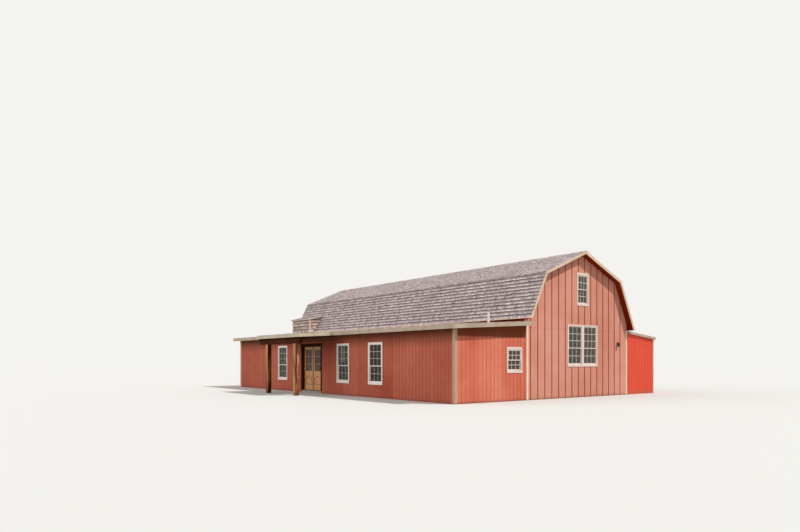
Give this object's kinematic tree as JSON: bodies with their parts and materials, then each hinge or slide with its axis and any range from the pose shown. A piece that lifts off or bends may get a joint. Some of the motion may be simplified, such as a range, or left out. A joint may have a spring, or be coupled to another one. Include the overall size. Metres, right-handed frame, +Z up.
{
  "type": "gambrel barn with a side wing and a lean-to",
  "caption": "Gambrel-roofed red timber barn, hollow, with a low side wing, a lean-to, sash windows, a box dormer, an entry porch on posts and a pair of glazed entry doors that swing inward.",
  "frame": {"origin": "middle of the building's outer box on plan, at ground level", "axes": "+Z up, front gable faces -Y, ridge along Y, the wing and the porch on the -X side"},
  "size_m": [14.454, 18.724, 6.025],
  "materials": {
    "concrete": "rough cast concrete",
    "wing_siding": "red stained vertical boards with fine grooves",
    "gable_siding": "red stained panels with upright battens",
    "metal_siding": "bright red ribbed sheet",
    "framing_wood": "sawn softwood",
    "shingle": "weathered roof shingles",
    "metal_roof": "pale ribbed sheet",
    "trim_paint": "cream paint",
    "window_paint": "warm white",
    "glass": "clear, dark room behind",
    "door_wood": "stained and varnished",
    "door_frame_wood": "dark brown stain",
    "porch_wood": "rough sawn, brown stain",
    "dormer_shingle": "weathered wood shingles",
    "pipe": "white, matt",
    "lamp_metal": "dark bronze",
    "knob": "white, glossy"
  },
  "bodies": {
    "building": {"floor_slab": "concrete", "loft_floor": "framing_wood", "wing_side_wall_near": "wing_siding", "wing_side_wall_far": "wing_siding", "wing_door_header": "wing_siding", "wing_front_wall": "wing_siding", "wing_rear_wall": "wing_siding", "front_gable_wall": "gable_siding", "rear_gable_wall": "gable_siding", "lean_to_front_wall": "metal_siding", "lean_to_rear_wall": "metal_siding", "lean_to_side_wall": "metal_siding", "barn_posts_left": "framing_wood", "barn_posts_right": "framing_wood", "side_band_left": "wing_siding", "side_band_right": "wing_siding", "roof_frames": "framing_wood", "roof_lower_left": "shingle", "roof_upper_left": "shingle", "roof_upper_right": "shingle", "roof_lower_right": "shingle", "ridge_cap": "shingle", "wing_roof": "shingle", "lean_to_roof": "metal_roof", "rake_boards": "trim_paint", "fascia_boards": "trim_paint", "corner_boards": "trim_paint", "window_casings": "window_paint", "window_sashes": "window_paint", "side_glass_near": "glass", "side_glass_far": "glass", "front_glass": "glass", "rear_glass": "glass", "entry_door_frame": "door_frame_wood", "porch_posts": "porch_wood", "porch_frame": "porch_wood", "porch_roof": "shingle", "dormer_walls": "dormer_shingle", "dormer_roof": "trim_paint", "vent_pipe": "pipe", "wall_lamp": "lamp_metal"},
    "door_left": {"door_leaf_left": "door_wood", "door_glass_left": "glass", "door_knob": "knob"},
    "door_right": {"door_leaf_right": "door_wood", "door_glass_right": "glass"}
  },
  "joints": [
    {"name": "left_door_hinge", "type": "hinge", "parent": "building", "child": "door_left", "pos_m": [-5.156, 1.736, 1.138], "axis": [0, 0, 1], "range_deg": [0, 100]},
    {"name": "right_door_hinge", "type": "hinge", "parent": "building", "child": "door_right", "pos_m": [-5.156, 0.064, 1.138], "axis": [0, 0, -1], "range_deg": [0, 100]}
  ]
}
